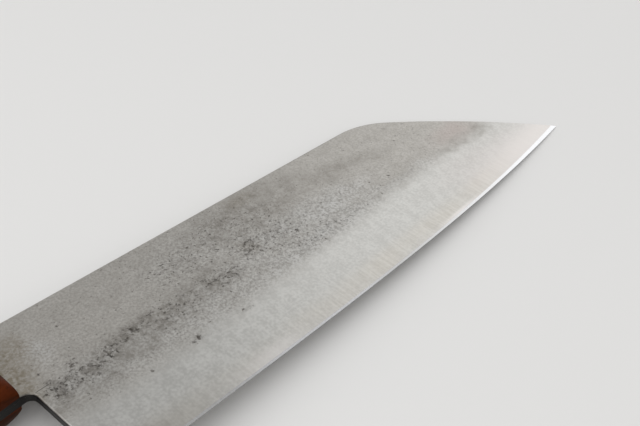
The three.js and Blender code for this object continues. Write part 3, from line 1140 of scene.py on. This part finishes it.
def skin_colour(shader, peel, mottle, grainy):
    """The forged skin without its marks: even or rugged grey, blushed or rubbed in places. Its
    tones are partly the grain's own, and partly painted highlight on the crests and painted shade
    in the hollows of the relief.
    """
    # the tones follow the same noise as the relief: painted highlight on crests, painted shade in
    # hollows
    even = shader.tones(peel, 0.36, 0.64, EVEN_SKIN)
    rugged = shader.tones(peel, 0.36, 0.64, RUGGED_SKIN)
    skin = shader.blend(grainy, even, rugged)
    skin = shader.blend(shader.span(mottle, 0.35, 0.7, 0.0, 0.35), skin, MOTTLED_SKIN)
    skin = shader.coat(skin, shader.mask("blush"), 0.5, BLUSH_SKIN)
    rubbed = shader.times(shader.mask("rubbed"), shader.span(peel, 0.4, 0.6))
    return shader.coat(skin, rubbed, 0.8, RUBBED_SKIN)


def cladding_material():
    """Soft steel: a satin ground bevel below, and pitted grey pear-skin above."""
    shader = Shader("cladding_steel_finish")
    pitting = shader.mask("pitting")
    grainy = shader.mask("grainy")
    peel = shader.noise(shader.place(), 1.7, detail=3.0, roughness=0.6)
    mottle = shader.noise(shader.place(), 0.25, detail=4.0)
    rust = shader.noise(shader.place(shift=(40, 0, 0)), 0.6, detail=6.0, roughness=0.7)
    crust = shader.noise(shader.place(shift=(0, 90, 0)), 1.05, detail=5.0, roughness=0.68)
    frayed = shader.times(grainy, shader.span(peel, 0.3, 0.7, 0.2, -0.2))
    forged = shader.plus(shader.mask("forged"), frayed)
    speck = speck_mask(shader, crust, pitting, forged)
    bevel, satin, brushed = ground_bevel(shader)

    steel = shader.blend(forged, bevel, skin_colour(shader, peel, mottle, grainy))
    shade = shader.times(shader.mask("shade"), shader.span(rust, 0.34, 0.66, 0.5, 1.4))
    steel = shader.blend(shade, steel, SHADE)
    stain = shader.times(shader.mask("stain"), shader.span(crust, 0.36, 0.64, 0.35, 1.1))
    steel = shader.blend(stain, steel, STAIN)
    soot = shader.span(shader.plus(rust, shader.times(pitting, 0.2)), 0.54, 0.74)
    soot = shader.times(soot, forged, shader.plus(pitting, 0.25))
    steel = shader.coat(steel, soot, 0.5, SOOT)
    steel = shader.blend(freckle_mask(shader, mottle, forged), steel, FRECKLE)
    steel = shader.coat(steel, speck, 0.85, SPECK)
    steel = shader.coat(steel, pit_mask(shader), 0.75, PIT_FLOOR)
    # a short dark line beside the neck's corner
    steel = shader.coat(steel, dark_line_mask(shader), 0.8, DARK_LINE)
    # painted shade on the neck's eased rim
    steel = shader.blend(shader.mask("neck_rim_shade"), steel, NECK_RIM_SHADE)
    # painted shade on the end faces of heel, neck and tang
    steel = painted_end_shade(shader, steel)

    roughness = shader.between(forged, satin, shader.span(peel, 0.2, 0.8, 0.40, 0.50))
    relief = shader.math("SUBTRACT", shader.times(peel, shader.plus(grainy, 0.2)), speck)
    normal = shader.bump(shader.times(forged, relief), 0.16, brushed)
    return shader.finish(base_color=steel, metallic=1.0, roughness=roughness, normal=normal)


def core_material():
    """Hard steel: the ground bevel carried down to a sharpened edge, with painted highlight along
    parts of it.
    """
    shader = Shader("core_steel_finish")
    sharpened = shader.mask("sharpened")
    band, satin, brushed = ground_bevel(shader)
    honing = shader.noise(shader.place((5.0, 1.2, 0.3)), 1.0, detail=2.0)
    dull = shader.tones(honing, 0.3, 0.7, DULL_EDGE)
    glint_colour = shader.tones(honing, 0.3, 0.7, GLINT_EDGE)
    # the sharpened edge's colour, with painted highlight along parts of it
    painted_highlight = shader.blend(shader.mask("painted_edge_glint"), dull, glint_colour)
    # painted shade on the end faces of heel, neck and tang
    steel = painted_end_shade(shader, shader.blend(sharpened, band, painted_highlight))
    polished = shader.span(honing, 0.2, 0.8, 0.16, 0.24)
    roughness = shader.between(sharpened, satin, polished)
    return shader.finish(base_color=steel, metallic=1.0, roughness=roughness, normal=brushed)


def wood_material():
    """Oiled red-brown hardwood, with its grain along the handle."""
    shader = Shader("scale_wood_finish")
    figure = shader.noise(shader.place((0.018, 0.32, 0.32)), 1.0, detail=4.0, distortion=0.6)
    fibre = shader.noise(shader.place((0.10, 3.2, 3.2)), 1.0, detail=3.0, roughness=0.6)
    open_grain = shader.span(shader.noise(shader.place((0.03, 0.5, 0.5)), 1.0), 0.42, 0.6)
    pores = shader.dots(shader.place((0.16, 2.6, 2.6)), 1.0, open_grain, 0.08, 0.3)
    wood = shader.tones(figure, 0.3, 0.7, WOOD_FIGURE)
    wood = shader.blend(shader.span(fibre, 0.35, 0.75, 0.0, 0.4), wood, WOOD_FIBRE)
    wood = shader.coat(wood, pores, 0.75, WOOD_PORE)
    roughness = shader.plus(shader.span(fibre, 0.2, 0.8, 0.40, 0.5), shader.times(pores, 0.2))
    grooves = shader.bump(shader.times(pores, -1.0), 0.05)
    normal = shader.bump(fibre, 0.012, grooves)
    shader.surface.inputs["Specular IOR Level"].default_value = WOOD_SPECULAR
    return shader.finish(base_color=wood, roughness=roughness, normal=normal)


def rivet_material():
    """Steel ground flush with the wood, with fine marks along the handle."""
    shader = Shader("rivet_steel_finish")
    marks = shader.noise(shader.place((0.22, 6.0, 0.4)), 1.0, detail=3.0)
    patches = shader.noise(shader.place(), 0.5, detail=2.0)
    steel = shader.tones(marks, 0.3, 0.7, RIVET_STEEL)
    steel = shader.blend(shader.span(patches, 0.45, 0.75, 0.0, 0.35), steel, RIVET_PATCH)
    roughness = shader.span(marks, 0.2, 0.8, 0.34, 0.46)
    normal = shader.bump(marks, 0.002)
    return shader.finish(base_color=steel, metallic=1.0, roughness=roughness, normal=normal)


def floor_material():
    shader = Shader("floor_finish")
    return shader.finish(base_color=FLOOR_COLOUR, roughness=0.85)


# The knife

FACES = (("right", 1, 11), ("left", -1, 53))  # name, side and seed of the marks


def build_knife():
    steel = cladding_material()
    core = core_material()
    wood = wood_material()
    rivet = rivet_material()
    piece("blade_core", drilled(core_mesh("blade_core")), "core_steel", core)
    for word, side, seed in FACES:
        cladding = drilled(cladding_mesh("blade_cladding_" + word, side, seed))
        piece("blade_cladding_" + word, cladding, "cladding_" + word, steel)
        scale = drilled(scale_mesh("handle_scale_" + word, side))
        piece("handle_scale_" + word, scale, "scale_" + word, wood)
    for word, distance in RIVET_PLACES.items():
        barrel = rivet_mesh("barrel_" + word, distance, 1)
        piece("barrel_" + word, barrel, "rivet_barrel_" + word, rivet)
        stud = rivet_mesh("stud_" + word, distance, -1)
        piece("stud_" + word, stud, "rivet_stud_" + word, rivet)


# Stage, light and camera

FLOOR_HALF = 3.0
FLOOR_DROP = 0.00005  # a hair of air between handle and floor
WORLD_STRENGTH = 0.6
SOFTBOX_CENTRE = Vector((0.06, 0.0, 0.0))
SOFTBOXES = {  # azimuth, elevation, distance and size in metres, power in watts
    "tip_softbox": (20, 30, 0.8, 0.6, 0.77),
    "fill_softbox": (225, 60, 0.9, 1.2, 3.6),
    "rim_softbox": (140, 36, 0.7, 0.7, 1.1),
}


def add_floor():
    mesh = bpy.data.meshes.new("floor")
    corners = [(-1, -1), (1, -1), (1, 1), (-1, 1)]
    points = [(x * FLOOR_HALF, y * FLOOR_HALF, -FLOOR_DROP) for x, y in corners]
    mesh.from_pydata(points, [], [(0, 1, 2, 3)])
    mesh.materials.append(floor_material())
    floor = bpy.data.objects.new("floor", mesh)
    bpy.context.scene.collection.objects.link(floor)


def add_softbox(name, azimuth, elevation, distance, size, power):
    """A square lamp facing the knife. Azimuth is from +X towards +Y."""
    lamp = bpy.data.lights.new(name, "AREA")
    lamp.size = size
    lamp.energy = power
    turn = math.radians(azimuth)
    rise = math.radians(elevation)
    level = math.cos(rise)
    away = Vector((math.cos(turn) * level, math.sin(turn) * level, math.sin(rise)))
    softbox = bpy.data.objects.new(name, lamp)
    softbox.location = SOFTBOX_CENTRE + away * distance
    softbox.rotation_mode = "QUATERNION"
    softbox.rotation_quaternion = away.to_track_quat("Z", "Y")
    bpy.context.scene.collection.objects.link(softbox)


def add_world():
    world = bpy.data.worlds.new("studio")
    world.use_nodes = True
    background = world.node_tree.nodes["Background"]
    background.inputs["Color"].default_value = rgb(1.0, 1.0, 1.0)
    background.inputs["Strength"].default_value = WORLD_STRENGTH
    bpy.context.scene.world = world


def add_camera():
    turn = math.radians(CAMERA_AZIMUTH)
    rise = math.radians(CAMERA_ELEVATION)
    roll = math.radians(CAMERA_ROLL)
    out = math.cos(rise)
    back = Vector((math.sin(turn) * out, -math.cos(turn) * out, math.sin(rise)))
    level = Vector((math.cos(turn), math.sin(turn), 0))
    upright = back.cross(level)
    right = math.cos(roll) * level + math.sin(roll) * upright
    up = math.cos(roll) * upright - math.sin(roll) * level
    camera = bpy.data.objects.new("camera", bpy.data.cameras.new("camera"))
    camera.data.sensor_width = CAMERA_SENSOR
    camera.data.lens = CAMERA_LENS
    camera.data.clip_start = CAMERA_CLIP_START
    camera.matrix_world = Matrix((right, up, back)).transposed().to_4x4()
    camera.location = (CAMERA_TARGET + back * CAMERA_DISTANCE) * MM
    bpy.context.scene.collection.objects.link(camera)
    bpy.context.scene.camera = camera


build_knife()
add_floor()
add_world()
for lamp_name, setting in SOFTBOXES.items():
    add_softbox(lamp_name, *setting)
add_camera()
bpy.context.scene.view_settings.view_transform = "Standard"
